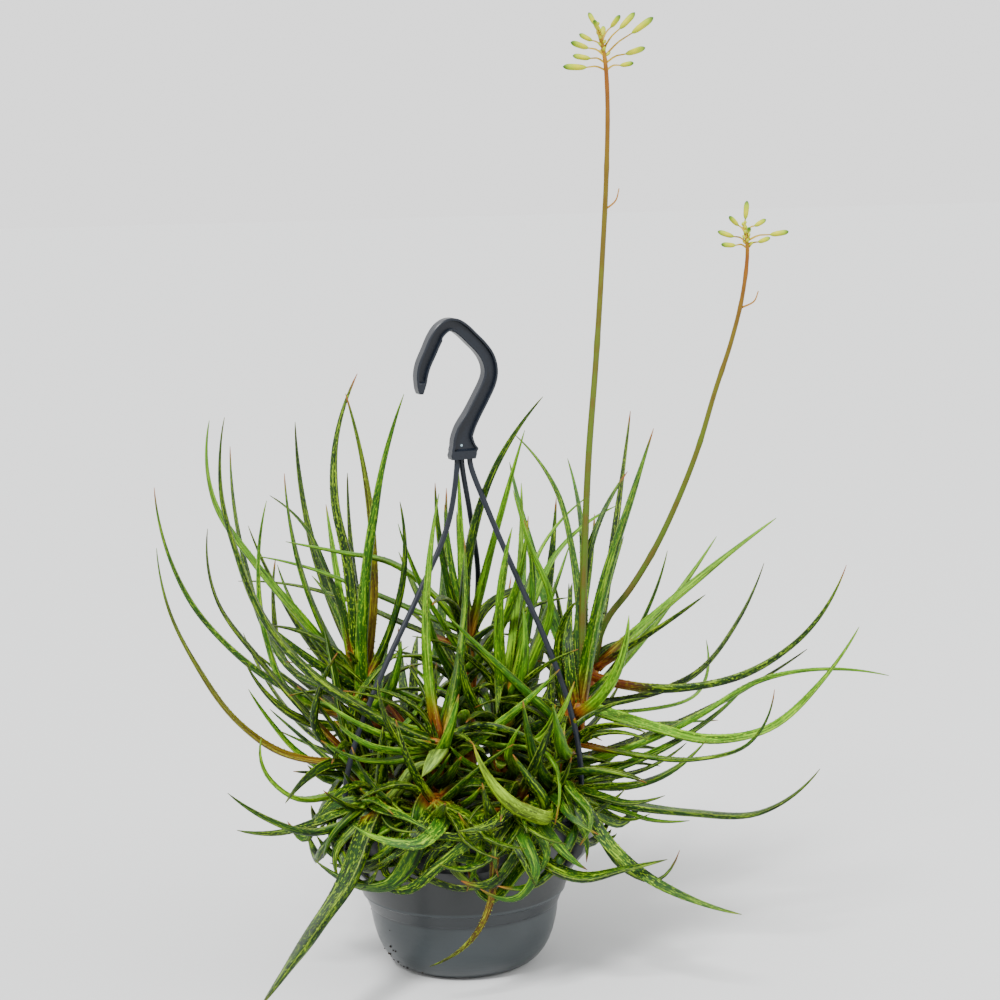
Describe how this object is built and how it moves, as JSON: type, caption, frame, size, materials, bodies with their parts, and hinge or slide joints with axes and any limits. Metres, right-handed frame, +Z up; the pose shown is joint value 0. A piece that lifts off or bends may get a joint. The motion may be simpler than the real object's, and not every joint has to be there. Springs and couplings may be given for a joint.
{
  "type": "potted spider aloe",
  "caption": "Spider aloe with long toothed leaves and budded flower stalks in a round plastic hanging pot, with moulded wires rising to a hook.",
  "frame": {"origin": "centre of the pot's flat base, on its underside", "axes": "+Z up, +X to the right and -Y towards the viewer, as in the picture"},
  "size_m": [0.4401, 0.4151, 0.5633],
  "materials": {
    "pot_plastic": "satin dark slate moulded polypropylene",
    "hanger_plastic": "satin dark slate blue moulded plastic",
    "potting_soil": "loose dark peat and bark",
    "aloe_leaf": "waxy green succulent leaf with pale flecks",
    "flower_stalk": "matt olive to brown stalk with yellow-green buds"
  },
  "bodies": {
    "root": {"pot": "pot_plastic", "soil": "potting_soil", "hook": "hanger_plastic", "wire_left": "hanger_plastic", "wire_right": "hanger_plastic", "wire_back": "hanger_plastic", "head_left_back": "aloe_leaf", "head_left": "aloe_leaf", "head_left_front": "aloe_leaf", "head_centre_back": "aloe_leaf", "head_centre": "aloe_leaf", "head_right": "aloe_leaf", "head_right_low": "aloe_leaf", "head_right_back": "aloe_leaf", "head_front_right": "aloe_leaf", "head_front_left": "aloe_leaf", "head_rim_left": "aloe_leaf", "head_back_left": "aloe_leaf", "head_back_right": "aloe_leaf", "flower_stalk_tall": "flower_stalk", "flower_stalk_short": "flower_stalk"}
  },
  "joints": []
}
